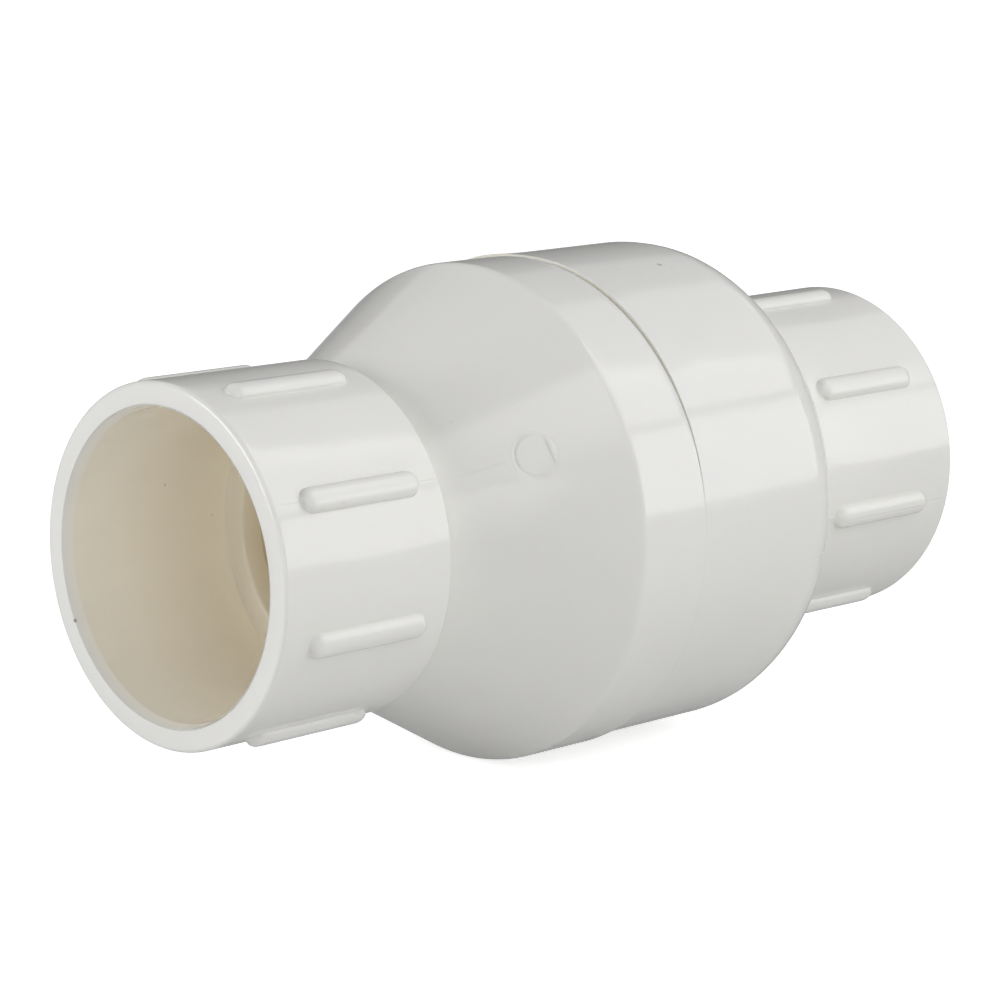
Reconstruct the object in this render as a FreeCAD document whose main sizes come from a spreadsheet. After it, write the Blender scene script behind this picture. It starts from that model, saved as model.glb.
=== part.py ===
"""Spring check valve for solvent-welded plastic pipe, nominal 1-1/2 inch, millimetres.

The flow runs along +X, from the inlet socket to the outlet socket, and +Z is up.
The origin is on the flow axis, halfway between the two socket faces.

Every sub-part is drawn in a "station" frame: its X is the station, the distance from
the outlet face towards the inlet, and its placement puts it into the valve's frame.
"""
import FreeCAD, Part

import math
import os

import Sketcher

doc = FreeCAD.newDocument("check_valve")

# ---------------------------------------------------------------- driving dimensions

SIZES = [
    # both sockets
    ("overall_length", 153.2),
    ("pipe_bore", 24.18),
    ("socket_depth", 32.6),
    ("socket_mouth_radius", 28.4),
    ("socket_root_radius", 28.2),
    ("mouth_flare", 0.77),
    ("mouth_lead", 1.9),
    ("face_round", 0.7),
    ("waterway", 20.2),
    ("ledge_bevel", 0.8),
    # ribs
    ("rib_count", 8),
    ("rib_rise", 1.4),
    ("rib_round", 2.2),
    ("rib_length", 23.2),
    ("outlet_rib_start", 5.7),
    ("inlet_rib_start", 6.9),
    ("outlet_rib_turn", 18.2),
    ("inlet_rib_turn", 10.5),
    # shell of the two halves
    ("collar_end", 33.6),
    ("collar_round", 0.7),
    ("cone_start", 39.5),
    ("shoulder_station", 63.5),
    ("shoulder_round", 2.5),
    ("cone_root_round", 0.9),
    ("seam_station", 76.8),
    ("seam_round", 0.35),
    ("back_wall_station", 112.8),
    ("back_round", 9.8),
    ("back_root_round", 2.0),
    ("barrel_radius", 40.9),
    ("outlet_chamber", 36.4),
    ("inlet_chamber", 36.2),
    ("cone_wall", 4.4),
    ("ledge_wall", 4.2),
    ("back_wall", 5.4),
    ("chamber_round", 3.5),
    # joint between the halves
    ("spigot_radius", 38.8),
    ("spigot_end", 86.0),
    ("cement_gap", 0.06),
    ("rim_seat_radius", 37.7),
    ("rim_seat_station", 83.0),
    # seat lip
    ("seat_rise", 2.0),
    ("seat_width", 4.4),
    ("seat_bevel", 1.2),
    # guide cage
    ("cage_rim_outer", 37.6),
    ("cage_rim_inner", 35.0),
    ("cage_slack", 0.05),
    ("hub_radius", 8.0),
    ("hub_start", 61.0),
    ("hub_end", 75.0),
    ("flange_radius", 12.0),
    ("flange_start", 68.6),
    ("flange_end", 72.0),
    ("vane_count", 4),
    ("vane_thick", 2.8),
    ("vane_turn", 40.0),
    # poppet
    ("stem_radius", 4.0),
    ("stem_gap", 0.06),
    ("stem_end", 54.6),
    ("travel", 12.0),
    ("stop_gap", 0.1),
    ("boss_radius", 8.0),
    ("disc_radius", 27.8),
    ("disc_round", 1.6),
    ("stem_bevel", 0.8),
    ("disc_back", 97.8),
    ("disc_front", 103.6),
    ("seal_recess", 26.4),
    ("seal_floor", 102.3),
    ("spigot_hub", 8.0),
    ("gusset_count", 6),
    ("gusset_thick", 2.0),
    ("gusset_root", 13.6),
    ("gusset_tip", 25.0),
    ("gusset_rise", 3.0),
    # rubber ring
    ("seal_thick", 3.0),
    ("seal_outer", 26.3),
    ("seal_inner", 8.1),
    ("seal_gap", 0.1),
    # retainer, washer and screw
    ("retainer_radius", 18.6),
    ("retainer_edge", 2.4),
    ("retainer_rise", 5.6),
    ("retainer_top", 7.0),
    ("retainer_round", 1.2),
    ("washer_recess", 5.2),
    ("washer_radius", 4.9),
    ("washer_thick", 0.8),
    ("screw_radius", 2.0),
    ("screw_gap", 0.05),
    ("screw_length", 18.0),
    ("screw_head_radius", 3.9),
    ("screw_head_rise", 2.5),
    ("screw_head_round", 1.5),
    ("screw_tip_radius", 0.5),
    ("screw_hole_spare", 1.0),
    ("cross_width", 1.0),
    ("cross_length", 4.4),
    ("cross_depth", 1.5),
    # clip near the stem's end
    ("clip_station", 57.6),
    ("clip_thick", 0.9),
    ("clip_radius", 7.0),
    ("groove_radius", 3.1),
    ("clip_mouth", 5.0),
    # spring and its washer
    ("wire", 1.2),
    ("coil_radius", 9.7),
    ("coil_turns", 6.5),
    ("spring_seat_gap", 0.05),
    ("slip_washer_inner", 8.2),
    ("slip_washer_outer", 12.0),
    ("slip_washer_thick", 0.8),
    ("slip_washer_gap", 0.1),
]

sheet = doc.addObject("Spreadsheet::Sheet", "dim")
for row, (alias, value) in enumerate(SIZES, start=1):
    sheet.set(f"A{row}", alias)
    sheet.set(f"B{row}", str(value))
    sheet.setAlias(f"B{row}", alias)
doc.recompute()


def size(expression):
    """The value of an expression in the sheet's cells, as a plain number."""
    return float(sheet.evalExpression(expression))


def cells(expression):
    """The same expression as another object has to write it, with the sheet's name."""
    names = sorted((alias for alias, _ in SIZES), key=len, reverse=True)
    words = expression.replace("(", " ( ").replace(")", " ) ").split()
    return " ".join(f"dim.{word}" if word in names else word for word in words)


# ---------------------------------------------------------------- helpers


def new_body(label):
    """A body in the station frame: X runs from the outlet face towards the inlet."""
    body = doc.addObject("PartDesign::Body", label)
    body.Label = label
    body.Placement = FreeCAD.Placement(
        FreeCAD.Vector(size("overall_length / 2"), 0, 0),
        FreeCAD.Rotation(FreeCAD.Vector(0, 0, 1), 180),
    )
    return body


def plane_of(body, role):
    return next(item for item in body.Origin.OriginFeatures if item.Role == role)


def new_sketch(body, name, plane="XY_Plane", turn=None, along=None):
    """A sketch on one of the body's own planes, turned about X or moved along its normal."""
    sketch = body.newObject("Sketcher::SketchObject", name)
    sketch.AttachmentSupport = [(plane_of(body, plane), "")]
    sketch.MapMode = "FlatFace"
    if turn is not None:
        sketch.AttachmentOffset = FreeCAD.Placement(
            FreeCAD.Vector(), FreeCAD.Rotation(FreeCAD.Vector(1, 0, 0), 1)
        )
        sketch.setExpression("AttachmentOffset.Rotation.Angle", cells(turn))
    if along is not None:
        sketch.setExpression("AttachmentOffset.Base.z", cells(along))
    return sketch


def bind(sketch, constraint, expression):
    index = sketch.addConstraint(constraint)
    sketch.setExpression(f"Constraints[{index}]", cells(expression))


def fix_point(sketch, line, station, radius):
    """Ties the first point of a line to its station and its distance from the axis."""
    if station == "0":
        sketch.addConstraint(Sketcher.Constraint("PointOnObject", line, 1, -2))
    else:
        bind(sketch, Sketcher.Constraint("DistanceX", -1, 1, line, 1, size(station)), station)
    if radius == "0":
        sketch.addConstraint(Sketcher.Constraint("PointOnObject", line, 1, -1))
    else:
        bind(sketch, Sketcher.Constraint("DistanceY", -1, 1, line, 1, size(radius)), radius)


def draw_outline(sketch, corners):
    """A closed outline of straight lines through (station, radius) corners given as text."""
    points = [FreeCAD.Vector(size(a), size(b), 0) for a, b in corners]
    count = len(points)
    for index, point in enumerate(points):
        sketch.addGeometry(Part.LineSegment(point, points[(index + 1) % count]), False)
    for index in range(count):
        following = (index + 1) % count
        sketch.addConstraint(Sketcher.Constraint("Coincident", index, 2, following, 1))
    for index, (station, radius) in enumerate(corners):
        fix_point(sketch, index, station, radius)


def turned(body, name, corners):
    """A full revolution of an outline about the flow axis."""
    sketch = new_sketch(body, name + "_profile")
    draw_outline(sketch, corners)
    feature = body.newObject("PartDesign::Revolution", name)
    feature.Profile = sketch
    feature.ReferenceAxis = (sketch, ["H_Axis"])
    feature.Angle = 360
    doc.recompute()
    return feature


def grooved(body, name, corners):
    """A full revolution of an outline, taken away from the body."""
    before = body.Shape.Volume
    sketch = new_sketch(body, name + "_profile")
    draw_outline(sketch, corners)
    feature = body.newObject("PartDesign::Groove", name)
    feature.Profile = sketch
    feature.ReferenceAxis = (sketch, ["H_Axis"])
    feature.Angle = 360
    doc.recompute()
    assert body.Shape.Volume < before, f"{name} cuts nothing"
    return feature


def ring_edges(feature, station, radius):
    """Names of the circular edges about the flow axis at a station and a radius."""
    names = []
    for index, edge in enumerate(feature.Shape.Edges, start=1):
        if edge.Curve.TypeId != "Part::GeomCircle":
            continue
        centre = edge.Curve.Center
        same_place = abs(centre.x - size(station)) < 0.01 and abs(centre.y) + abs(centre.z) < 0.01
        if same_place and abs(edge.Curve.Radius - size(radius)) < 0.01:
            names.append(f"Edge{index}")
    assert names, f"no edge at station {station}, radius {radius}"
    return names


def dress(body, kind, name, places, amount):
    """A fillet or a chamfer on every ring edge named by its (station, radius)."""
    base = body.Tip
    edges = [edge for station, radius in places for edge in ring_edges(base, station, radius)]
    feature = body.newObject(kind, name)
    feature.Base = (base, edges)
    feature.setExpression("Radius" if kind.endswith("Fillet") else "Size", cells(amount))
    doc.recompute()
    return feature


def round_edges(body, name, places, amount):
    return dress(body, "PartDesign::Fillet", name, places, amount)


def bevel_edges(body, name, places, amount):
    return dress(body, "PartDesign::Chamfer", name, places, amount)


def repeat_round_axis(body, name, feature, count):
    """Equal copies of a feature about the flow axis."""
    pattern = body.newObject("PartDesign::PolarPattern", name)
    pattern.Originals = [feature]
    pattern.Axis = (plane_of(body, "X_Axis"), [""])
    pattern.Angle = 360
    pattern.setExpression("Occurrences", cells(count))
    body.Tip = pattern
    doc.recompute()
    return pattern


def pad_both_ways(body, name, sketch, thick):
    pad = body.newObject("PartDesign::Pad", name)
    pad.Profile = sketch
    pad.SideType = "Symmetric"
    pad.setExpression("Length", cells(thick))
    doc.recompute()
    return pad


def ribs_on(body, start, turn):
    """Grip ribs: round-ended bars lying along the socket, sunk in until only the rise shows."""
    sketch = new_sketch(body, "rib_profile", turn=turn)
    axis_height = "socket_mouth_radius + rib_rise - rib_round"
    low = size(f"{start} + rib_round")
    high = size(f"{start} + rib_length - rib_round")
    height = size(axis_height)
    radius = size("rib_round")
    top = height + radius
    vector = FreeCAD.Vector
    normal = vector(0, 0, 1)
    ridge = Part.LineSegment(vector(high, top, 0), vector(low, top, 0))
    middle = Part.LineSegment(vector(low - radius, height, 0), vector(high + radius, height, 0))
    near_end = Part.Circle(vector(low, height, 0), normal, radius)
    far_end = Part.Circle(vector(high, height, 0), normal, radius)
    sketch.addGeometry(ridge, False)
    sketch.addGeometry(Part.ArcOfCircle(near_end, math.pi / 2, math.pi), False)
    sketch.addGeometry(middle, False)
    sketch.addGeometry(Part.ArcOfCircle(far_end, 0, math.pi / 2), False)
    constraint = Sketcher.Constraint
    sketch.addConstraint(constraint("Tangent", 0, 2, 1, 1))
    sketch.addConstraint(constraint("Coincident", 1, 2, 2, 1))
    sketch.addConstraint(constraint("Coincident", 2, 2, 3, 1))
    sketch.addConstraint(constraint("Tangent", 3, 2, 0, 1))
    sketch.addConstraint(constraint("Horizontal", 2))
    sketch.addConstraint(constraint("PointOnObject", 1, 3, 2))
    sketch.addConstraint(constraint("PointOnObject", 3, 3, 2))
    bind(sketch, constraint("Radius", 1, radius), "rib_round")
    bind(sketch, constraint("Radius", 3, radius), "rib_round")
    bind(sketch, constraint("DistanceX", -1, 1, 1, 2, low - radius), start)
    bind(sketch, constraint("DistanceX", 2, 1, 2, 2, high - low + 2 * radius), "rib_length")
    bind(sketch, constraint("DistanceY", -1, 1, 2, 1, height), axis_height)
    # the middle line is both an edge of the half outline and its axis of revolution
    rib = body.newObject("PartDesign::Revolution", "rib")
    rib.Profile = sketch
    rib.ReferenceAxis = (sketch, ["Edge3"])
    rib.Angle = 360
    doc.recompute()
    return repeat_round_axis(body, "ribs", rib, "rib_count")


def disc_with_hole(label, start, thick, outer, inner):
    """A plain flat ring about the flow axis."""
    body = new_body(label)
    end = f"{start} + {thick}"
    turned(body, "ring", [(start, inner), (end, inner), (end, outer), (start, outer)])
    return body


# ---------------------------------------------------------------- the two halves


def make_outlet_body():
    """Outlet socket, ledge, cone and the first stretch of the barrel with its spigot."""
    body = new_body("outlet_body")
    # the cone would meet the socket's radius at cone_start, and runs on under the socket's collar
    cone_slope = "(barrel_radius - socket_root_radius) / (shoulder_station - cone_start)"
    cone_foot = f"socket_root_radius - (cone_start - collar_end) * {cone_slope}"
    ledge_back = "socket_depth + ledge_wall"
    cone_inner = f"socket_root_radius + ({ledge_back} - cone_start) * {cone_slope} - cone_wall"
    cone_inner_end = "shoulder_station + (outlet_chamber - barrel_radius + cone_wall)"
    cone_inner_end += f" / ({cone_slope})"
    turned(
        body,
        "shell",
        [
            ("0", "pipe_bore + mouth_flare"),
            ("mouth_lead", "pipe_bore"),
            ("socket_depth", "pipe_bore"),
            ("socket_depth", "waterway"),
            (ledge_back, "waterway"),
            (ledge_back, cone_inner),
            (cone_inner_end, "outlet_chamber"),
            ("rim_seat_station", "outlet_chamber"),
            ("rim_seat_station", "rim_seat_radius"),
            ("spigot_end", "rim_seat_radius"),
            ("spigot_end", "spigot_radius"),
            ("seam_station", "spigot_radius"),
            ("seam_station", "barrel_radius"),
            ("shoulder_station", "barrel_radius"),
            ("collar_end", cone_foot),
            ("collar_end", "socket_root_radius"),
            ("0", "socket_mouth_radius"),
        ],
    )
    round_edges(body, "shoulder_fillet", [("shoulder_station", "barrel_radius")], "shoulder_round")
    round_edges(body, "collar_fillet", [("collar_end", "socket_root_radius")], "collar_round")
    round_edges(body, "cone_root_fillet", [("collar_end", cone_foot)], "cone_root_round")
    round_edges(body, "face_fillet", [("0", "socket_mouth_radius")], "face_round")
    round_edges(body, "seam_fillet", [("seam_station", "barrel_radius")], "seam_round")
    bevel_edges(body, "ledge_chamfer", [("socket_depth", "waterway")], "ledge_bevel")
    ribs_on(body, "outlet_rib_start", "outlet_rib_turn")
    return body


def make_inlet_body():
    """Barrel, rounded back wall with the seat lip, and the inlet socket."""
    body = new_body("inlet_body")
    step = "spigot_end + 2 * cage_slack"
    wall_front = "back_wall_station - back_wall"
    seat_front = f"{wall_front} - seat_rise"
    seat_outer = "waterway + seat_width"
    ledge_back = "overall_length - socket_depth"
    cup = "spigot_radius + cement_gap"
    turned(
        body,
        "shell",
        [
            ("seam_station", "barrel_radius"),
            ("seam_station", cup),
            (step, cup),
            (step, "inlet_chamber"),
            (wall_front, "inlet_chamber"),
            (wall_front, seat_outer),
            (seat_front, seat_outer),
            (seat_front, "waterway"),
            (ledge_back, "waterway"),
            (ledge_back, "pipe_bore"),
            ("overall_length - mouth_lead", "pipe_bore"),
            ("overall_length", "pipe_bore + mouth_flare"),
            ("overall_length", "socket_mouth_radius"),
            ("back_wall_station", "socket_root_radius"),
            ("back_wall_station", "barrel_radius"),
        ],
    )
    round_edges(body, "back_fillet", [("back_wall_station", "barrel_radius")], "back_round")
    round_edges(body, "back_root_fillet", [("back_wall_station", "socket_root_radius")], "back_root_round")
    round_edges(body, "chamber_fillet", [(wall_front, "inlet_chamber")], "chamber_round")
    round_edges(body, "face_fillet", [("overall_length", "socket_mouth_radius")], "face_round")
    bevel_edges(body, "seat_chamfer", [(seat_front, seat_outer)], "seat_bevel")
    bevel_edges(body, "ledge_chamfer", [(ledge_back, "waterway")], "ledge_bevel")
    ribs_on(body, "overall_length - inlet_rib_start - rib_length", "inlet_rib_turn")
    return body


# ---------------------------------------------------------------- guide cage


def make_guide_cage():
    """Hub with a spring flange, four vanes and the rim that the two halves clamp."""
    body = new_body("guide_cage")
    bore = "stem_radius + stem_gap"
    turned(
        body,
        "hub",
        [
            ("hub_start", bore),
            ("hub_end", bore),
            ("hub_end", "hub_radius"),
            ("flange_end", "hub_radius"),
            ("flange_end", "flange_radius"),
            ("flange_start", "flange_radius"),
            ("flange_start", "hub_radius"),
            ("hub_start", "hub_radius"),
        ],
    )
    rim_start, rim_end = "rim_seat_station + cage_slack", "spigot_end + cage_slack"
    rim_middle = "(cage_rim_inner + cage_rim_outer) / 2"
    sketch = new_sketch(body, "vane_profile", turn="vane_turn")
    inside_hub = "hub_radius - 1"
    draw_outline(
        sketch,
        [
            ("hub_start + 2", inside_hub),
            ("flange_end", inside_hub),
            ("flange_end", "flange_radius - 1"),
            (rim_end, "cage_rim_inner"),
            (rim_end, rim_middle),
            (rim_start, rim_middle),
            ("rim_seat_station - 3", "cage_rim_inner - 1"),
        ],
    )
    vane = pad_both_ways(body, "vane", sketch, "vane_thick")
    repeat_round_axis(body, "vanes", vane, "vane_count")
    turned(
        body,
        "rim",
        [
            (rim_start, "cage_rim_inner"),
            (rim_end, "cage_rim_inner"),
            (rim_end, "cage_rim_outer"),
            (rim_start, "cage_rim_outer"),
        ],
    )
    return body


# ---------------------------------------------------------------- poppet assembly


def make_poppet():
    """Disc with a recess for the rubber ring, back gussets, boss and stem."""
    body = new_body("poppet")
    boss_start = "hub_end + travel + stop_gap"
    groove_end = "clip_station + clip_thick"
    screw_end = "seal_floor + seal_thick + retainer_rise - washer_thick - screw_length"
    turned(
        body,
        "disc_and_stem",
        [
            ("stem_end", "0"),
            ("stem_end", "stem_radius"),
            (boss_start, "stem_radius"),
            (boss_start, "boss_radius"),
            ("disc_back", "boss_radius"),
            ("disc_back", "disc_radius"),
            ("disc_front", "disc_radius"),
            ("disc_front", "seal_recess"),
            ("seal_floor", "seal_recess"),
            ("seal_floor", "spigot_hub"),
            ("seal_floor + seal_thick - 0.1", "spigot_hub"),
            ("seal_floor + seal_thick - 0.1", "0"),
        ],
    )
    round_edges(body, "disc_fillet", [("disc_back", "disc_radius")], "disc_round")
    bevel_edges(body, "stem_chamfer", [("stem_end", "stem_radius")], "stem_bevel")
    grooved(
        body,
        "clip_groove",
        [
            ("clip_station - 0.05", "groove_radius"),
            (f"{groove_end} + 0.05", "groove_radius"),
            (f"{groove_end} + 0.05", "stem_radius + 1"),
            ("clip_station - 0.05", "stem_radius + 1"),
        ],
    )
    grooved(
        body,
        "screw_hole",
        [
            (f"{screw_end} - screw_hole_spare", "0"),
            ("disc_front + 3", "0"),
            ("disc_front + 3", "screw_radius + screw_gap"),
            (f"{screw_end} - screw_hole_spare", "screw_radius + screw_gap"),
        ],
    )
    sketch = new_sketch(body, "gusset_profile")
    draw_outline(
        sketch,
        [
            ("disc_back - gusset_rise", "gusset_root"),
            ("disc_back - gusset_rise", "gusset_root + 3"),
            ("disc_back - 0.5", "gusset_tip"),
            ("disc_back + 1", "gusset_tip"),
            ("disc_back + 1", "gusset_root"),
        ],
    )
    gusset = pad_both_ways(body, "gusset", sketch, "gusset_thick")
    repeat_round_axis(body, "gussets", gusset, "gusset_count")
    return body


def make_seal_retainer():
    """Domed plate with a flat top, sunk for the washer, and a hole for the screw."""
    body = new_body("seal_retainer")
    foot = "seal_floor + seal_thick"
    hole = "screw_radius + 3 * screw_gap"
    sunk = f"{foot} + retainer_rise - washer_thick"
    turned(
        body,
        "dome",
        [
            (foot, hole),
            (foot, "retainer_radius"),
            (f"{foot} + retainer_edge", "retainer_radius"),
            (f"{foot} + retainer_rise", "retainer_top"),
            (f"{foot} + retainer_rise", "washer_recess"),
            (sunk, "washer_recess"),
            (sunk, hole),
        ],
    )
    round_edges(
        body,
        "edge_fillet",
        [(f"{foot} + retainer_edge", "retainer_radius")],
        "retainer_round",
    )
    round_edges(
        body,
        "top_fillet",
        [(f"{foot} + retainer_rise", "retainer_top")],
        "retainer_round",
    )
    return body


def make_retainer_screw():
    """Pan-head screw with a cross recess. Its tip is in the poppet."""
    body = new_body("retainer_screw")
    under_head = "seal_floor + seal_thick + retainer_rise"
    head_top = f"{under_head} + screw_head_rise"
    tip = f"{under_head} - washer_thick - screw_length"
    turned(
        body,
        "head_and_shank",
        [
            (f"{tip} + screw_radius", "screw_radius"),
            (under_head, "screw_radius"),
            (under_head, "screw_head_radius"),
            (head_top, "screw_head_radius"),
            (head_top, "0"),
            (tip, "0"),
            (tip, "screw_tip_radius"),
        ],
    )
    round_edges(body, "head_fillet", [(head_top, "screw_head_radius")], "screw_head_round")
    for name, wide, tall in (
        ("cross_upright", "cross_width", "cross_length"),
        ("cross_level", "cross_length", "cross_width"),
    ):
        before = body.Shape.Volume
        sketch = new_sketch(body, name + "_outline", plane="YZ_Plane", along=head_top)
        half_wide, half_tall = size(f"{wide} / 2"), size(f"{tall} / 2")
        corners = [
            FreeCAD.Vector(-half_wide, -half_tall, 0),
            FreeCAD.Vector(half_wide, -half_tall, 0),
            FreeCAD.Vector(half_wide, half_tall, 0),
            FreeCAD.Vector(-half_wide, half_tall, 0),
        ]
        for index in range(4):
            sketch.addGeometry(Part.LineSegment(corners[index], corners[(index + 1) % 4]), False)
        constraint = Sketcher.Constraint
        for index in range(4):
            sketch.addConstraint(constraint("Coincident", index, 2, (index + 1) % 4, 1))
        for index in (0, 2):
            sketch.addConstraint(constraint("Horizontal", index))
            sketch.addConstraint(constraint("Vertical", index + 1))
        sketch.addConstraint(constraint("Symmetric", 0, 1, 2, 1, -1, 1))
        bind(sketch, constraint("DistanceX", 0, 1, 0, 2, 2 * half_wide), wide)
        bind(sketch, constraint("DistanceY", 1, 1, 1, 2, 2 * half_tall), tall)
        slot = body.newObject("PartDesign::Pocket", name)
        slot.Profile = sketch
        slot.setExpression("Length", cells("cross_depth"))
        doc.recompute()
        if body.Shape.Volume >= before - 0.1:
            slot.Reversed = True
            doc.recompute()
        assert body.Shape.Volume < before - 0.1, f"{name} cuts nothing"
    return body


def make_stem_clip():
    """Flat snap ring in the stem's groove, open on one side."""
    body = new_body("stem_clip")
    end = "clip_station + clip_thick"
    inner = "groove_radius + 0.05"
    turned(
        body,
        "ring",
        [("clip_station", inner), (end, inner), (end, "clip_radius"), ("clip_station", "clip_radius")],
    )
    before = body.Shape.Volume
    sketch = new_sketch(body, "mouth_outline", plane="XZ_Plane")
    draw_outline(
        sketch,
        [
            ("clip_station - 1", "0 - clip_mouth / 2"),
            (f"{end} + 1", "0 - clip_mouth / 2"),
            (f"{end} + 1", "clip_mouth / 2"),
            ("clip_station - 1", "clip_mouth / 2"),
        ],
    )
    mouth = body.newObject("PartDesign::Pocket", "mouth")
    mouth.Profile = sketch
    mouth.setExpression("Length", cells("clip_radius + 1"))
    doc.recompute()
    assert body.Shape.Volume < before, "the clip's mouth cuts nothing"
    return body


# ---------------------------------------------------------------- spring


def make_return_spring():
    """Compression spring between the cage's flange and the slip washer, ends ground flat."""
    body = new_body("return_spring")
    foot = "flange_end + spring_seat_gap"
    head = "disc_back - slip_washer_gap - slip_washer_thick - spring_seat_gap"
    sketch = new_sketch(body, "wire_section")
    radius = size("wire / 2")
    centre = FreeCAD.Vector(size(foot), size("coil_radius"), 0)
    sketch.addGeometry(Part.Circle(centre, FreeCAD.Vector(0, 0, 1), radius), False)
    bind(sketch, Sketcher.Constraint("Radius", 0, radius), "wire / 2")
    bind(sketch, Sketcher.Constraint("DistanceX", -1, 1, 0, 3, size(foot)), foot)
    bind(sketch, Sketcher.Constraint("DistanceY", -1, 1, 0, 3, size("coil_radius")), "coil_radius")
    helix = body.newObject("PartDesign::AdditiveHelix", "coils")
    helix.Profile = sketch
    helix.ReferenceAxis = (sketch, ["H_Axis"])
    helix.Mode = "height-turns-growth"
    helix.setExpression("Height", cells(f"{head} - ({foot})"))
    helix.setExpression("Turns", cells("coil_turns"))
    doc.recompute()
    outside = "coil_radius + 2 * wire"
    before_foot, past_head = f"{foot} - 2 * wire", f"{head} + 2 * wire"
    for name, low, high in (("foot_grinding", before_foot, foot), ("head_grinding", head, past_head)):
        grooved(body, name, [(low, "0"), (high, "0"), (high, outside), (low, outside)])
    return body


# ---------------------------------------------------------------- assembly

SLIP_WASHER_START = "disc_back - slip_washer_gap - slip_washer_thick"
SCREW_WASHER_START = "seal_floor + seal_thick + retainer_rise - washer_thick"

parts = [
    make_outlet_body(),
    make_inlet_body(),
    make_guide_cage(),
    make_return_spring(),
    disc_with_hole(
        "spring_washer", SLIP_WASHER_START, "slip_washer_thick", "slip_washer_outer", "slip_washer_inner"
    ),
    make_poppet(),
    disc_with_hole("poppet_seal", "seal_floor", "seal_thick", "seal_outer", "seal_inner"),
    make_seal_retainer(),
    disc_with_hole(
        "retainer_washer",
        SCREW_WASHER_START,
        "washer_thick",
        "washer_radius",
        "screw_radius + 2 * screw_gap",
    ),
    make_retainer_screw(),
    make_stem_clip(),
]

doc.recompute()
for item in doc.Objects:
    assert "Invalid" not in item.State and "Error" not in item.State, f"{item.Label} failed: {item.State}"
for part in parts:
    shape = part.Shape
    assert not shape.isNull() and shape.isValid(), f"{part.Label} has no valid shape"
    assert len(shape.Solids) == 1, f"{part.Label} has {len(shape.Solids)} solids"

os.makedirs("parts", exist_ok=True)
for part in parts:
    part.Shape.exportStep(os.path.join("parts", part.Label + ".step"))
    box = part.Shape.BoundBox
    print(
        f"{part.Label:16s} volume {part.Shape.Volume:10.1f}"
        f"  x {box.XMin:7.2f} {box.XMax:7.2f}  z {box.ZMin:7.2f} {box.ZMax:7.2f}"
    )
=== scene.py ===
"""Looks of the check valve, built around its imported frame. Metres, flow along +X, +Z up."""

import math

import bpy
import numpy as np
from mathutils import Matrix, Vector


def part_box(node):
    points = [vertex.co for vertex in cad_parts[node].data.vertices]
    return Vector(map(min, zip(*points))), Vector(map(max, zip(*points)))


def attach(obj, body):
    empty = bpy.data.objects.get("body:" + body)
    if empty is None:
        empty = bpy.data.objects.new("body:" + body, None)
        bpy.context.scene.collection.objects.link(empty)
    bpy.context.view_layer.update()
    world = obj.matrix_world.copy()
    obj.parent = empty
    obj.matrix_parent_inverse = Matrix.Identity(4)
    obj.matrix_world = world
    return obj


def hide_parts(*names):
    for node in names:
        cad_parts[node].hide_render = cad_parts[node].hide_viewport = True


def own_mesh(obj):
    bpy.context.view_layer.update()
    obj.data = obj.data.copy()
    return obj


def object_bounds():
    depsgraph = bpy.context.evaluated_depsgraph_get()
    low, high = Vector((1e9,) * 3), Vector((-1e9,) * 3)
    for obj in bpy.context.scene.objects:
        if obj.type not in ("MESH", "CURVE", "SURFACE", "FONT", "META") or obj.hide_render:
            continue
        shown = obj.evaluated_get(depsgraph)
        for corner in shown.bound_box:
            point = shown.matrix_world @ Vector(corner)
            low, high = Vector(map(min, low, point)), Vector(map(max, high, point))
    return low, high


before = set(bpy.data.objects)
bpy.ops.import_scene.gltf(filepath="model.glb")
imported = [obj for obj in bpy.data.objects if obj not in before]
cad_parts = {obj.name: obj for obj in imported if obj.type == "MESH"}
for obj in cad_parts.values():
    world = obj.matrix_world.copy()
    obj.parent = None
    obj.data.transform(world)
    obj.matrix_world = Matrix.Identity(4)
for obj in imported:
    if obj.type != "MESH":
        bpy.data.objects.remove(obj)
cad_low, cad_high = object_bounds()

MM = 0.001
HALF_LENGTH = 76.6  # station 0 is the outlet face, at this X in millimetres
# radii of both halves, in millimetres
WATERWAY = 20.2
BORE = 24.18
SOCKET_FOOT, SOCKET_MOUTH = 28.2, 28.4
OUTER = 27.0  # every outer surface lies beyond this radius
OUTER_BARREL = 39.0  # and the barrel's beyond this one

scene = bpy.context.scene

# ---------------------------------------------------------------- camera

camera_data = bpy.data.cameras.new("camera")
camera = bpy.data.objects.new("camera", camera_data)
scene.collection.objects.link(camera)
camera_data.sensor_width = 36.0
camera_data.lens = 130.42
camera_data.clip_start = 0.01
camera_data.clip_end = 20.0
turn, rise = math.radians(135.80), math.radians(10.76)
right = Vector((math.cos(turn), math.sin(turn), 0.0))
back = Vector((math.sin(turn) * math.cos(rise), -math.cos(turn) * math.cos(rise), math.sin(rise)))
down = -back.cross(right)
outlet_face = Vector((HALF_LENGTH, 0.0, 0.0))
camera.location = (outlet_face + 50.89 * right - 10.24 * down + 546.36 * back) * MM
camera.rotation_mode = "QUATERNION"
camera.rotation_quaternion = (-back).to_track_quat("-Z", "Y")
scene.camera = camera

# ---------------------------------------------------------------- node helpers


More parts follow.
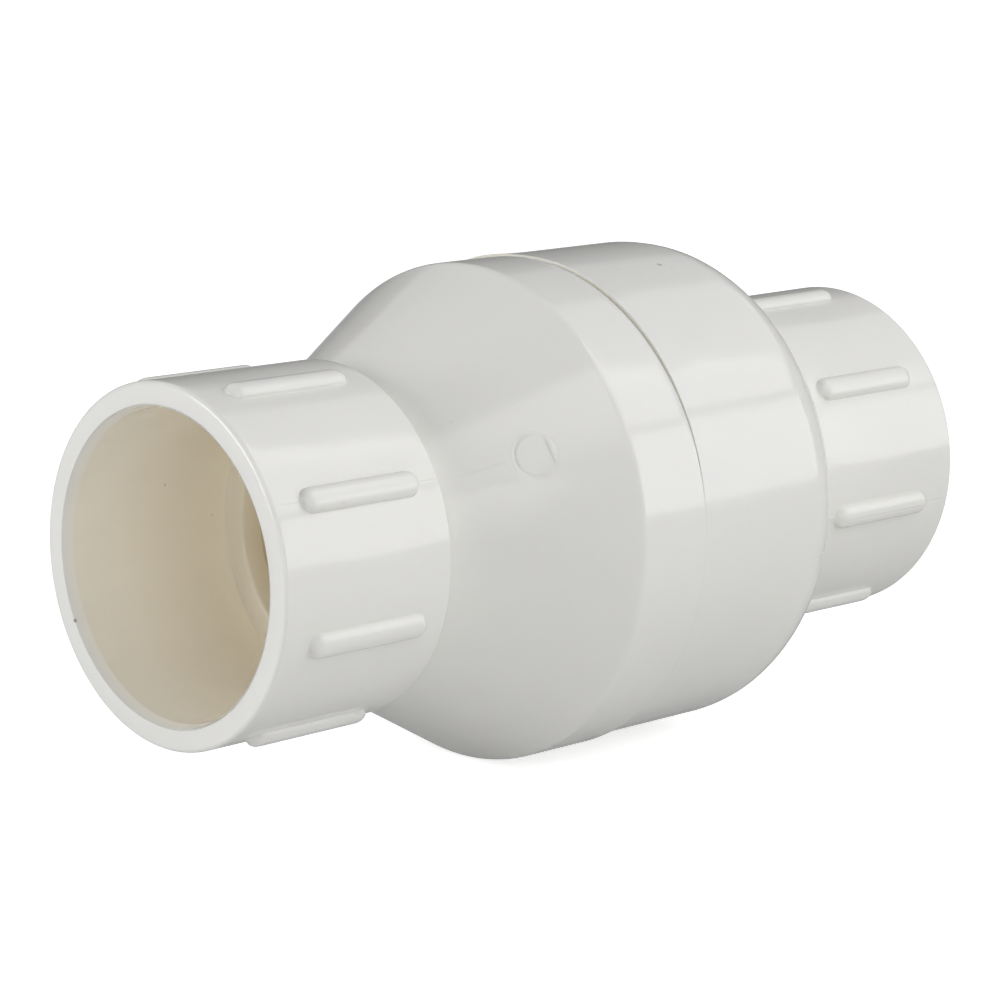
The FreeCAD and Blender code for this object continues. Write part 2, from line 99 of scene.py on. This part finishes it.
class Nodes:
    """A material's or world's node tree, with short calls for the nodes used here."""

    def __init__(self, owner, shader="Principled BSDF"):
        owner.use_nodes = True
        self.owner = owner
        self.tree = owner.node_tree
        self.shader = self.tree.nodes[shader]

    def add(self, kind, inputs=None, **settings):
        node = self.tree.nodes.new(kind)
        for key, value in settings.items():
            setattr(node, key, value)
        for key, value in (inputs or {}).items():
            self.feed(node.inputs[key], value)
        return node

    def feed(self, socket, value):
        if isinstance(value, bpy.types.NodeSocket):
            self.tree.links.new(value, socket)
        else:
            socket.default_value = value

    def place(self):
        return self.add("ShaderNodeTexCoord").outputs["Object"]

    def scaled(self, vector, factors):
        return self.add("ShaderNodeMapping", {"Vector": vector, "Scale": factors}).outputs["Vector"]

    def noise(self, vector, scale, detail=2.0, rough=0.5):
        made = self.add(
            "ShaderNodeTexNoise",
            {"Vector": vector, "Scale": scale, "Detail": detail, "Roughness": rough},
        )
        return made.outputs["Fac"]

    def span(self, value, low, high, to_low, to_high, kind="LINEAR"):
        made = self.add(
            "ShaderNodeMapRange",
            {"Value": value, "From Min": low, "From Max": high, "To Min": to_low, "To Max": to_high},
            interpolation_type=kind,
        )
        return made.outputs["Result"]

    def maths(self, operation, first, second=0.0):
        made = self.add("ShaderNodeMath", {0: first, 1: second}, operation=operation)
        return made.outputs["Value"]

    def mix(self, factor, first, second, blend="MIX"):
        made = self.add("ShaderNodeMix", data_type="RGBA", blend_type=blend)
        self.feed(made.inputs[0], factor)
        self.feed(made.inputs[6], first)
        self.feed(made.inputs[7], second)
        return made.outputs[2]

    def bump(self, height, distance, strength=1.0, after=None):
        inputs = {"Height": height, "Distance": distance, "Strength": strength}
        if after is not None:
            inputs["Normal"] = after
        return self.add("ShaderNodeBump", inputs).outputs["Normal"]

    def attribute(self, name):
        return self.add("ShaderNodeAttribute", attribute_name=name).outputs["Fac"]

    def set(self, **values):
        for key, value in values.items():
            self.feed(self.shader.inputs[key.replace("_", " ")], value)


def grey(value, alpha=1.0):
    return (value, value, value, alpha)


# ---------------------------------------------------------------- materials

# dirt specks moulded into the white: place, radius and strength
SPECKS = (
    ((-0.0186, 0.0127, 0.0389), 0.00065, 0.50),
    ((-0.0199, 0.0142, 0.0383), 0.00030, 0.25),
    ((0.0360, 0.0205, 0.0201), 0.00040, 0.12),
    ((0.05725, -0.02336, 0.00726), 0.00045, 0.75),
    ((0.04679, -0.02422, 0.00071), 0.00040, 0.15),
    ((0.0755, 0.0019, 0.0247), 0.00040, 0.60),
    ((0.0765, -0.0220, -0.0117), 0.00045, 0.70),
)


def make_pvc():
    """Glossy moulded white PVC, with flow waves, fine peel and a few specks, and painted warm shade and
    glow inside its bores.
    """
    n = Nodes(bpy.data.materials.new("pvc_white"))
    place = n.place()
    painted_warmth = n.attribute("painted_warmth")
    outside = n.mix(
        n.span(n.noise(place, 38.0, 3.0), 0.35, 0.65, 0.0, 1.0),
        (0.838, 0.836, 0.806, 1.0),
        (0.852, 0.850, 0.822, 1.0),
    )
    # painted shade: the bores are coloured warm tan, more so the deeper they go, for the warm light
    # bounced about inside them; the streaks in it are random tone
    streaks = n.noise(n.scaled(place, (12.0, 140.0, 140.0)), 1.0, 3.0)
    inside = n.mix(
        n.span(streaks, 0.3, 0.7, 0.0, 1.0), (0.928, 0.885, 0.772, 1.0), (0.940, 0.900, 0.790, 1.0)
    )
    colour = n.mix(n.span(painted_warmth, 0.0, 0.8, 0.0, 1.0), outside, inside)
    # painted shade: the chamber past the bores takes the strongest warm tan
    colour = n.mix(n.span(painted_warmth, 0.8, 1.0, 0.0, 1.0), colour, (0.935, 0.868, 0.700, 1.0))
    for spot, size, strength in SPECKS:
        off = n.add("ShaderNodeVectorMath", {0: place, 1: spot}, operation="DISTANCE").outputs["Value"]
        speck = n.span(off, 0.3 * size, size, strength, 0.0, "SMOOTHSTEP")
        colour = n.mix(speck, colour, (0.16, 0.12, 0.08, 1.0))
    gloss = n.span(n.noise(place, 60.0, 3.0), 0.3, 0.7, 0.11, 0.145)
    waves = n.noise(n.scaled(place, (26.0, 44.0, 44.0)), 1.0, 1.5)
    peel = n.noise(place, 1100.0, 2.0)
    normal = n.bump(waves, 0.0010, 0.55)
    normal = n.bump(peel, 0.00002, 0.6, normal)
    n.set(Base_Color=colour, Roughness=gloss, Normal=normal, IOR=1.53)
    # painted glow: the deep bores and chamber give off a faint warm light of their own, which makes
    # them lighter and warmer than the lamps do
    painted_glow = n.maths("ADD", n.span(painted_warmth, 0.58, 0.8, 0.0, 0.050), n.span(painted_warmth, 0.8, 1.0, 0.0, 0.008))
    n.set(Emission_Color=(1.0, 0.82, 0.62, 1.0), Emission_Strength=painted_glow)
    n.set(Subsurface_Weight=0.12, Subsurface_Radius=(1.0, 0.82, 0.58), Subsurface_Scale=0.003)
    return n.owner


def make_inner_plastic():
    """Satin moulded plastic of the cage, the poppet and the retainer."""
    n = Nodes(bpy.data.materials.new("inner_plastic"))
    place = n.place()
    colour = n.mix(
        n.span(n.noise(place, 90.0, 3.0), 0.35, 0.65, 0.0, 1.0),
        (0.70, 0.68, 0.63, 1.0),
        (0.75, 0.735, 0.69, 1.0),
    )
    normal = n.bump(n.noise(place, 1600.0, 2.0), 0.00003, 0.5)
    normal = n.bump(n.noise(place, 120.0, 1.0), 0.0002, 0.3, normal)
    n.set(Base_Color=colour, Normal=normal, IOR=1.5)
    n.set(Roughness=n.span(n.noise(place, 300.0, 3.0), 0.3, 0.7, 0.36, 0.50))
    return n.owner


def make_stainless():
    """Drawn and pressed stainless steel, with fine lines round the flow axis."""
    n = Nodes(bpy.data.materials.new("stainless"))
    place = n.place()
    lines = n.noise(n.scaled(place, (9000.0, 700.0, 700.0)), 1.0, 3.0)
    tint = n.noise(place, 260.0, 2.0)
    colour = n.mix(n.span(tint, 0.3, 0.7, 0.0, 1.0), (0.56, 0.55, 0.53, 1.0), (0.66, 0.65, 0.63, 1.0))
    n.set(Base_Color=colour, Metallic=1.0, Roughness=n.span(lines, 0.3, 0.7, 0.20, 0.38))
    n.set(Normal=n.bump(lines, 0.00001, 0.5))
    return n.owner


def make_rubber():
    """Black sealing rubber with a faint bloom."""
    n = Nodes(bpy.data.materials.new("seal_rubber"))
    place = n.place()
    bloom = n.noise(place, 180.0, 4.0, 0.6)
    colour = n.mix(
        n.span(bloom, 0.4, 0.75, 0.0, 1.0), (0.018, 0.018, 0.019, 1.0), (0.045, 0.044, 0.042, 1.0)
    )
    n.set(Base_Color=colour, Roughness=n.span(bloom, 0.3, 0.7, 0.50, 0.68))
    n.set(Normal=n.bump(n.noise(place, 1400.0, 3.0), 0.00004, 0.5))
    return n.owner


def make_floor_paint():
    """Matt white studio board, which the camera sees as brightly lit as a backdrop."""
    n = Nodes(bpy.data.materials.new("studio_board"))
    place = n.place()
    tone = n.noise(place, 3.0, 3.0)
    n.set(Base_Color=n.mix(tone, grey(0.86), grey(0.89)), Roughness=0.7)
    n.set(Normal=n.bump(n.noise(place, 500.0, 2.0), 0.00005, 0.3))
    away = n.add("ShaderNodeVectorMath", {0: place}, operation="LENGTH").outputs["Value"]
    glow = n.span(away, 0.25, 2.2, 0.72, 0.92)
    seen = n.add("ShaderNodeLightPath").outputs["Is Camera Ray"]
    n.set(Emission_Color=grey(1.0), Emission_Strength=n.maths("MULTIPLY", glow, seen))
    return n.owner


PVC = make_pvc()
INNER_PLASTIC = make_inner_plastic()
STAINLESS = make_stainless()
RUBBER = make_rubber()

# ---------------------------------------------------------------- turned shells


def arc_points(before, corner, after, radius, count):
    """Points of a fillet of this radius at a corner between two straight runs."""
    a = np.subtract(before, corner)
    b = np.subtract(after, corner)
    a /= np.linalg.norm(a)
    b /= np.linalg.norm(b)
    half = math.acos(np.clip(a @ b, -1, 1)) / 2
    reach = radius / math.tan(half)
    middle = (a + b) / np.linalg.norm(a + b)
    centre = np.array(corner) + middle * radius / math.sin(half)
    first = np.array(corner) + a * reach - centre
    last = np.array(corner) + b * reach - centre
    sweep = math.pi - 2 * half
    sign = np.sign(first[0] * last[1] - first[1] * last[0])
    points = []
    for step in range(count + 1):
        angle = sign * sweep * step / count
        c, s = math.cos(angle), math.sin(angle)
        points.append(centre + (first[0] * c - first[1] * s, first[0] * s + first[1] * c))
    return points


def outline(corners):
    """A closed outline from (station, radius, fillet, arc steps) corners, as an array."""
    points = []
    for index, (station, radius, fillet, steps) in enumerate(corners):
        before = corners[index - 1][:2]
        after = corners[(index + 1) % len(corners)][:2]
        if fillet:
            points += arc_points(before, (station, radius), after, fillet, steps)
        else:
            points.append(np.array((station, radius), float))
    return np.array(points)


def refine(points, zones):
    """Adds points on runs, so that none in a zone (low, high, step, least radius) is longer."""
    made = []
    for index, start in enumerate(points):
        end = points[(index + 1) % len(points)]
        made.append(start)
        cuts = [0.0, 1.0]
        run = end - start
        for low, high, step, least in zones:
            if min(start[1], end[1]) < least or abs(run[0]) < 1e-6:
                continue
            lo = np.clip((low - start[0]) / run[0], 0, 1)
            hi = np.clip((high - start[0]) / run[0], 0, 1)
            span = abs(hi - lo) * abs(run[0])
            if span > 1e-6:
                cuts += list(np.linspace(lo, hi, max(2, int(math.ceil(span / step)) + 1)))
        cuts = np.unique(np.round(cuts, 5))
        made += [start + run * cut for cut in cuts[1:-1]]
    return np.array(made)


def outline_normals(points):
    """Unit normals of an outline that runs so that its solid lies on the right of its direction."""
    ahead = np.roll(points, -1, axis=0) - points
    behind = points - np.roll(points, 1, axis=0)
    ahead /= np.linalg.norm(ahead, axis=1)[:, None]
    behind /= np.linalg.norm(behind, axis=1)[:, None]
    along = ahead + behind
    along /= np.linalg.norm(along, axis=1)[:, None] + 1e-12
    return np.column_stack([-along[:, 1], along[:, 0]])


def turned_mesh(name, points, angles, shape, painted_warmth):
    """A closed shell turned about the flow axis. shape(s, r, angle, normal) moves its grid points."""
    normals = outline_normals(points)
    s = np.repeat(points[:, 0][:, None], len(angles), axis=1)
    r = np.repeat(points[:, 1][:, None], len(angles), axis=1)
    angle = np.repeat(np.radians(angles)[None, :], len(points), axis=0)
    s, r = shape(s, r, angle, normals[:, None, :])
    x = HALF_LENGTH - s
    y = r * np.sin(angle)
    z = r * np.cos(angle)
    co = np.stack([x, y, z], axis=-1).reshape(-1, 3) * MM
    rows, columns = s.shape
    i = np.arange(rows)[:, None]
    j = np.arange(columns)[None, :]
    i2, j2 = (i + 1) % rows, (j + 1) % columns
    quads = np.stack(
        [i * columns + j, i2 * columns + j, i2 * columns + j2, i * columns + j2], axis=-1
    ).reshape(-1, 4)
    mesh = bpy.data.meshes.new(name)
    mesh.vertices.add(len(co))
    mesh.vertices.foreach_set("co", co.ravel())
    mesh.loops.add(quads.size)
    mesh.loops.foreach_set("vertex_index", quads.ravel())
    mesh.polygons.add(len(quads))
    mesh.polygons.foreach_set("loop_start", np.arange(0, quads.size, 4))
    mesh.update(calc_edges=True)
    mesh.validate()
    mesh.polygons.foreach_set("use_smooth", np.ones(len(mesh.polygons), bool))
    mesh.set_sharp_from_angle(angle=math.radians(38))
    # each point's share of the painted warm shade and glow
    layer = mesh.attributes.new("painted_warmth", "FLOAT", "POINT")
    values = np.repeat(painted_warmth(points)[:, None], columns, axis=1).ravel()
    layer.data.foreach_set("value", values.astype(np.float32))
    mesh.update()
    obj = bpy.data.objects.new(name, mesh)
    scene.collection.objects.link(obj)
    return obj


def smooth_top(a, b, blend):
    """The larger of two heights, blended where they are close."""
    near = np.clip(0.5 + 0.5 * (a - b) / blend, 0, 1)
    return b + (a - b) * near + blend * near * (1 - near)


def lateral(angle, centre):
    """Signed angle from a centre given in degrees, in radians."""
    return (angle - math.radians(centre) + math.pi) % (2 * math.pi) - math.pi


RIB = {"first": 5.7, "length": 23.2, "count": 8, "rise": 1.4, "half_width": 2.02, "power": 2.1}


def ribbed(s, r, angle, start, phase):
    """Grip ribs: D-shaped bars with rounded ends, blended into the socket at their foot."""
    low = start + RIB["half_width"]
    high = start + RIB["length"] - RIB["half_width"]
    past = np.maximum(np.maximum(low - s, s - high), 0.0)
    pitch = 2 * math.pi / RIB["count"]
    turn_off = (angle - math.radians(phase) + pitch / 2) % pitch - pitch / 2
    away = np.hypot(r * np.sin(turn_off), past) / RIB["half_width"]
    top = RIB["rise"] * np.maximum(1 - away ** RIB["power"], 0.0) ** (1 / RIB["power"])
    foot = np.where(away < 1, top, -(away - 1) * RIB["half_width"] * 1.6)
    raised = smooth_top(foot, np.zeros_like(foot), 0.22)
    return r + np.where(away < 1.25, raised, 0.0)


def rib_angles(phase):
    """Angles at which the grid has lines: close together across each rib's sides."""
    across = [0, 0.8, 1.6, 2.3, 2.8, 3.2, 3.5, 3.75, 3.95, 4.1, 4.25, 4.45, 4.75, 5.2]
    across = sorted({-a for a in across} | set(across))
    between = np.linspace(5.2, 45 - 5.2, 15)[1:-1]
    pitch = 360 / RIB["count"]
    return np.concatenate(
        [phase + pitch * k + np.concatenate([across, between]) for k in range(RIB["count"])]
    )


def merged(angles, extra, gap):
    """Two sets of angles as one ring of increasing angles, no two closer than the gap."""
    extra = np.asarray(extra) % 360
    kept = [a for a in np.asarray(angles) % 360 if len(extra) == 0 or np.min(np.abs(extra - a)) > gap]
    return np.sort(np.concatenate([kept, extra]))


# ---- outlet half

OUTLET_PHASE = 63.2
PARTING = 63.3
GATE = {"station": 49.6, "angle": 63.3, "radius": 3.35, "chord": 2.42}
CONE_START, SHOULDER, BARREL = 40.1, 62.7, 40.78
COLLAR_END = 33.6
CONE_SLOPE = (BARREL - SOCKET_FOOT) / (SHOULDER - CONE_START)
CONE_TURN = math.atan(CONE_SLOPE)


def cone_radius(s):
    """Outside radius of the cone, which runs on under the collar at the socket's end."""
    return SOCKET_FOOT + (s - CONE_START) * CONE_SLOPE


outlet_corners = [
    (86.0, 38.78, 0.25, 3),
    (86.0, 37.7, 0.0, 0),
    (83.0, 37.7, 0.0, 0),
    (83.0, 36.4, 0.0, 0),
    (63.31, 36.4, 1.5, 6),
    (36.8, cone_radius(36.8) - 4.4, 1.0, 6),
    (36.8, WATERWAY, 0.4, 3),
    (32.6, WATERWAY, 0.55, 5),
    (32.6, BORE, 0.25, 3),
    (1.7, BORE, 1.8, 8),
    (0.12, 24.64, 0.0, 0),
    (0.5, 24.70, 0.0, 0),
    (0.5, 24.84, 0.0, 0),
    (0.0, 24.92, 0.03, 2),
    (0.0, SOCKET_MOUTH, 0.7, 8),
    (COLLAR_END, SOCKET_FOOT, 0.55, 6),
    (COLLAR_END, cone_radius(COLLAR_END), 0.9, 6),
    (SHOULDER, BARREL, 3.0, 16),
    (76.8, BARREL, 0.12, 4),
    (76.8, 38.78, 0.0, 0),
]


def outlet_features(s, r, angle, normal):
    outside = r > OUTER
    socket = outside & (s < 33.0) & (s > 1.0)
    r = np.where(socket, ribbed(s, r, angle, RIB["first"], OUTLET_PHASE), r)
    # the mould's parting line, from the face to the gate mark, broken by the rib it meets
    off = r * np.sin(lateral(angle, PARTING))
    run = np.clip((s - 0.8) / 0.5, 0, 1) * np.clip((46.0 - s) / 1.0, 0, 1)
    run = np.where((s > RIB["first"] - 0.4) & (s < RIB["first"] + RIB["length"] + 0.3), 0.0, run)
    step = -0.055 * np.exp(-((off / 0.11) ** 2)) + 0.03 * np.exp(-(((off + 0.3) / 0.2) ** 2))
    lift = np.where(outside & (s < 47.0), step * run, 0.0)
    # the gate mark: a ring-shaped witness with a broken-off crescent on its far side
    along = (s - GATE["station"]) / math.cos(CONE_TURN)
    across = r * np.sin(lateral(angle, GATE["angle"]))
    away = np.hypot(along, across)
    fade = np.where(away < 6.0, 1.0, 0.0) * outside
    worn = 0.6 - 0.4 * np.clip((along - 0.3 * across) / GATE["radius"], -1, 1)
    groove = -0.2 * worn * np.exp(-(((away - GATE["radius"]) / 0.2) ** 2))
    ridge = 0.05 * np.exp(-(((away - GATE["radius"] - 0.42) / 0.2) ** 2))
    lift = np.where(away < GATE["radius"], 0.0, lift)
    chord = along - 0.077 * across - GATE["chord"]
    inside = 0.5 - 0.5 * np.tanh((away - GATE["radius"] + 0.1) / 0.1)
    crescent = 0.085 * (1 + np.tanh(chord / 0.1)) * inside
    cut = -0.17 * np.exp(-(((chord + 0.12) / 0.13) ** 2)) * inside
    lift = lift + (groove + ridge + crescent + cut) * fade
    # the rim is worn round at the top, so that the inlet half's end shows above it
    sunk = (0.5 + 0.5 * np.cos(lateral(angle, 4.0))) ** 3
    near_seam = np.clip((s - 75.2) / 1.6, 0, 1) ** 1.6
    lift = lift - np.where(r > OUTER_BARREL, 0.42 * sunk * near_seam, 0.0)
    # a small dent on the middle rib
    dent = np.hypot(s - 12.6, r * np.sin(lateral(angle, 66.4)))
    lift = lift - np.where(socket, 0.28 * np.exp(-((dent / 0.28) ** 2)), 0.0)
    return s + lift * normal[..., 0], r + lift * normal[..., 1]


def bore_depth(depth):
    """How much painted warm shade a bore gets at a depth below its mouth: quickly at first, then
    slowly.
    """
    soon = 0.62 * np.clip((depth - 1.0) / 1.1, 0, 1) ** 0.8
    return soon + 0.18 * np.clip((depth - 3.0) / 27.0, 0, 1)


def outlet_inner(points):
    """How far into the bore a point is, which sets its painted warm shade and glow: 0 outside, rising
    down the socket to 1.
    """
    s, r = points[:, 0], points[:, 1]
    below = r < np.minimum(cone_radius(s) - 1.5, 36.6)
    within = np.where(s > 36.0, 1.0, np.clip((25.2 - r) / 0.4, 0, 1) * bore_depth(s))
    return np.where((s < COLLAR_END - 0.5) | below, within, 0.0)


outlet_zones = [
    (4.9, 8.4, 0.2, OUTER),
    (8.4, 26.0, 1.6, OUTER),
    (2.0, 4.4, 1.2, 24.0),
    (4.4, 32.0, 4.6, 24.0),
    (26.0, 29.7, 0.2, OUTER),
    (12.0, 13.3, 0.2, OUTER),
    (34.5, 44.6, 1.5, 24.9),
    (44.6, 54.6, 0.17, 24.9),
    (54.6, 63.0, 1.8, 24.9),
    (64.0, 75.0, 1.6, OUTER_BARREL),
    (75.0, 76.5, 0.25, OUTER_BARREL),
]
gate_angles = np.concatenate(
    [
        GATE["angle"] + np.linspace(-7.2, 7.2, 57),
        PARTING + np.array([-0.45, -0.3, -0.2, -0.1, 0.1, 0.2, 0.3, 0.45]),
    ]
)
outlet_shell = turned_mesh(
    "outlet_shell",
    refine(outline(outlet_corners), outlet_zones),
    merged(rib_angles(OUTLET_PHASE), gate_angles, 0.06),
    outlet_features,
    outlet_inner,
)

# ---- inlet half

INLET_PHASE = 100.7  # degrees round from the top to the middle of a rib, as for the outlet
INLET_FACE = 2 * HALF_LENGTH
INLET_RIB_INSET = 6.9
INLET_BARREL = 40.58
CORE_SHIFT = 0.38  # how far the inlet half's outside stands above its bores' axis

inlet_corners = [
    (76.8, INLET_BARREL, 0.08, 3),
    (76.8, 38.86, 0.0, 0),
    (86.1, 38.86, 0.0, 0),
    (86.1, 36.2, 0.0, 0),
    (107.4, 36.2, 3.5, 8),
    (107.4, 24.6, 0.4, 3),
    (105.4, 24.6, 1.1, 6),
    (105.4, WATERWAY, 0.4, 4),
    (120.6, WATERWAY, 0.55, 5),
    (120.6, BORE, 0.25, 3),
    (151.3, BORE, 2.2, 8),
    (INLET_FACE, 24.95, 0.35, 5),
    (INLET_FACE, SOCKET_MOUTH, 0.7, 8),
    (113.0, SOCKET_FOOT, 2.0, 8),
    (113.0, INLET_BARREL, 10.3, 28),
]


def inlet_features(s, r, angle, normal):
    socket = (r > OUTER) & (s > 116.0) & (s < 152.2)
    start = INLET_FACE - INLET_RIB_INSET - RIB["length"]
    r = np.where(socket, ribbed(s, r, angle, start, INLET_PHASE), r)
    # the outside stands a little above the axis, and its rim shows past the outlet half's
    top = np.degrees(lateral(angle, 0.0))
    near_seam = np.clip((84.0 - s) / 7.0, 0, 1) ** 2
    rim = 0.48 * np.exp(-(((top + 20.0) / 12.0) ** 2)) + 0.16 * np.exp(-(((top - 42.0) / 26.0) ** 2))
    crown = np.where(s < 114.0, 0.11 * np.exp(-((top / 9.0) ** 2)), 0.0)
    shift = CORE_SHIFT * np.cos(angle) - crown + rim * near_seam
    outer = r > np.select([s < 105.0, s < 108.0], [39.5, 37.0], OUTER)
    r = r + np.where(outer, shift, 0.0)
    # a nib of flash on the rounded edge, where the mould's parting line crosses it
    off = lateral(angle, 102.0)
    nib = 0.35 * np.exp(-((off / math.radians(1.3)) ** 2)) * np.exp(-(((s - 108.6) / 1.5) ** 2))
    off = r * np.sin(lateral(angle, INLET_PHASE))
    line = -0.05 * np.exp(-((off / 0.12) ** 2)) + 0.03 * np.exp(-(((off - 0.3) / 0.2) ** 2))
    lift = np.where(outer & (s > 103.0) & (s < 151.5), line, 0.0)
    lift = lift + np.where(outer & (r > 30.0), nib, 0.0)
    return s + lift * normal[..., 0], r + lift * normal[..., 1]


def inlet_inner(points):
    """How far into the bore a point is, which sets its painted warm shade and glow: 0 outside, rising
    down the socket to 1.
    """
    s, r = points[:, 0], points[:, 1]
    depth = bore_depth(INLET_FACE - s)
    chamber = (s < 108.0) & (r < 36.5)
    # the inlet half's end face, in the seam between the halves, gets most of the painted warm shade too
    end = np.where((s < 76.81) & (r > 38.0), 0.6, 0.0)
    return np.where(chamber, 1.0, np.clip((25.2 - r) / 0.4, 0, 1) * depth) + end


inlet_zones = [
    (77.0, 85.0, 1.0, OUTER_BARREL),
    (85.0, 103.0, 3.0, OUTER_BARREL),
    (122.2, 126.0, 0.16, OUTER),
    (114.5, 122.2, 1.6, OUTER),
    (126.0, 143.3, 1.6, OUTER),
    (143.3, 147.2, 0.16, OUTER),
    (147.2, 152.0, 1.2, OUTER),
]
nib_angles = np.concatenate(
    [102.0 + np.linspace(-3.5, 3.5, 21), INLET_PHASE + np.array([-0.3, -0.15, 0.15, 0.3])]
)
inlet_shell = turned_mesh(
    "inlet_shell",
    refine(outline(inlet_corners), inlet_zones),
    merged(rib_angles(INLET_PHASE), nib_angles, 0.06),
    inlet_features,
    inlet_inner,
)

for shell, node in ((outlet_shell, "outlet_body"), (inlet_shell, "inlet_body")):
    shell.data.materials.append(PVC)
    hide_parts(node)
    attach(shell, "valve_body")

# ---------------------------------------------------------------- return spring


def make_spring():
    """Round wire wound with a closed coil at each end, the ends ground flat."""
    spring_low, spring_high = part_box("return_spring")
    start, end = spring_high.x, spring_low.x
    wire = 0.0006
    coil = spring_high.z - wire
    turns, per_turn, around = 7.5, 72, 16
    steps = int(turns * per_turn)
    closed = 1.0
    length = abs(end - start) - wire
    lead = 2 * wire * 1.02
    open_turns = turns - 2 * closed
    rows = []
    for step in range(steps + 1):
        done = step / per_turn
        if done < closed:
            x = lead * done * 0.5
        elif done > turns - closed:
            x = length - lead * (turns - done) * 0.5
        else:
            x = lead * 0.5 + (length - lead) * (done - closed) / open_turns
        angle = 2 * math.pi * done
        centre = Vector((start - wire * 0.5 - x, coil * math.sin(angle), coil * math.cos(angle)))
        outward = Vector((0.0, math.sin(angle), math.cos(angle)))
        rows.append((centre, outward))
    verts, faces = [], []
    for centre, outward in rows:
        for k in range(around):
            a = 2 * math.pi * k / around
            point = centre + wire * (math.cos(a) * outward + math.sin(a) * Vector((1.0, 0.0, 0.0)))
            point.x = min(max(point.x, end), start)
            verts.append(point)
    for i in range(len(rows) - 1):
        for k in range(around):
            k2 = (k + 1) % around
            faces.append((i * around + k, i * around + k2, (i + 1) * around + k2, (i + 1) * around + k))
    last = (len(rows) - 1) * around
    faces.append(tuple(range(around - 1, -1, -1)))
    faces.append(tuple(last + k for k in range(around)))
    mesh = bpy.data.meshes.new("spring_wire")
    mesh.from_pydata([tuple(v) for v in verts], [], faces)
    mesh.polygons.foreach_set("use_smooth", np.ones(len(mesh.polygons), bool))
    mesh.set_sharp_from_angle(angle=math.radians(40))
    obj = bpy.data.objects.new("spring_wire", mesh)
    scene.collection.objects.link(obj)
    mesh.materials.append(STAINLESS)
    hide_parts("return_spring")
    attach(obj, "valve_body")
    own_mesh(obj)


make_spring()

# ---------------------------------------------------------------- carried-over pieces

FINISHES = {
    "guide_cage": INNER_PLASTIC,
    "poppet": INNER_PLASTIC,
    "seal_retainer": INNER_PLASTIC,
    "poppet_seal": RUBBER,
    "spring_washer": STAINLESS,
    "retainer_washer": STAINLESS,
    "retainer_screw": STAINLESS,
    "stem_clip": STAINLESS,
}
for node, material in FINISHES.items():
    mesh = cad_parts[node].data
    mesh.materials.clear()
    mesh.materials.append(material)

# ---------------------------------------------------------------- floor and light

floor_mesh = bpy.data.meshes.new("studio_floor")
reach, level = 3.0, cad_low.z - 0.0001
floor_mesh.from_pydata(
    [(-reach, -reach, level), (reach, -reach, level), (reach, reach, level), (-reach, reach, level)],
    [],
    [(0, 1, 2, 3)],
)
floor = bpy.data.objects.new("studio_floor", floor_mesh)
scene.collection.objects.link(floor)
floor_mesh.materials.append(make_floor_paint())
floor.visible_glossy = False


def area_light(name, azimuth, elevation, distance, width, height, power, colour=(1.0, 1.0, 1.0)):
    """A soft box that stands at an azimuth and elevation round the object and faces it."""
    data = bpy.data.lights.new(name, "AREA")
    data.shape = "RECTANGLE"
    data.size = width
    data.size_y = height
    data.energy = power
    data.color = colour
    light = bpy.data.objects.new(name, data)
    a, e = math.radians(azimuth), math.radians(elevation)
    away = Vector((math.sin(a) * math.cos(e), -math.cos(a) * math.cos(e), math.sin(e)))
    light.location = away * distance
    light.rotation_mode = "QUATERNION"
    light.rotation_quaternion = (-away).to_track_quat("-Z", "Y")
    scene.collection.objects.link(light)


SOFT_LOW = (0.75, 0.55)
SOFT_HIGH = (0.75, 0.75)
CAMERA_SIDE = math.degrees(turn)
for name, offset, elevation, size, power in (
    ("soft_front_low", 10.0, 12.0, SOFT_LOW, 2.61),
    ("soft_front_high", 10.0, 45.0, SOFT_HIGH, 1.61),
    ("soft_front_right", 50.0, 45.0, SOFT_HIGH, 0.87),
    ("soft_right_low", 90.0, 12.0, SOFT_LOW, 2.68),
    ("soft_right_high", 90.0, 45.0, SOFT_HIGH, 2.76),
    ("soft_rear_high", 130.0, 45.0, SOFT_HIGH, 1.07),
    ("soft_left_low", -70.0, 12.0, SOFT_LOW, 6.22),
):
    area_light(name, CAMERA_SIDE + offset, elevation, 1.2, *size, power)

# brightness of the studio below the horizon, along its rear and front walls, and above them
STUDIO = {"low": 0.311, "rear": 0.10, "front": 0.04, "rear_top": 0.44, "front_top": 0.146}


def make_world():
    """Studio surroundings: dark walls, a grey ceiling and a lit floor, seen as plain white."""
    n = Nodes(bpy.data.worlds.new("studio"), "Background")
    split = n.add("ShaderNodeTexCoord").outputs["Generated"]
    split = n.add("ShaderNodeSeparateXYZ", {"Vector": split}).outputs
    toward = n.maths("MULTIPLY", split["X"], back.x)
    toward = n.maths("ADD", toward, n.maths("MULTIPLY", split["Y"], back.y))
    wall = n.span(toward, -0.1, 0.1, STUDIO["rear"], STUDIO["front"], "SMOOTHSTEP")
    ceiling = n.span(toward, -0.1, 0.1, STUDIO["rear_top"], STUDIO["front_top"], "SMOOTHSTEP")
    upper = n.span(split["Z"], 0.395, 0.425, wall, ceiling, "SMOOTHSTEP")
    around = n.span(split["Z"], -0.03, 0.03, STUDIO["low"], upper, "SMOOTHSTEP")
    seen = n.add("ShaderNodeLightPath").outputs["Is Camera Ray"]
    n.set(Color=grey(1.0), Strength=n.span(seen, 0.0, 1.0, around, 1.0))
    return n.owner


scene.world = make_world()

scene.view_settings.view_transform = "Standard"
scene.view_settings.look = "None"
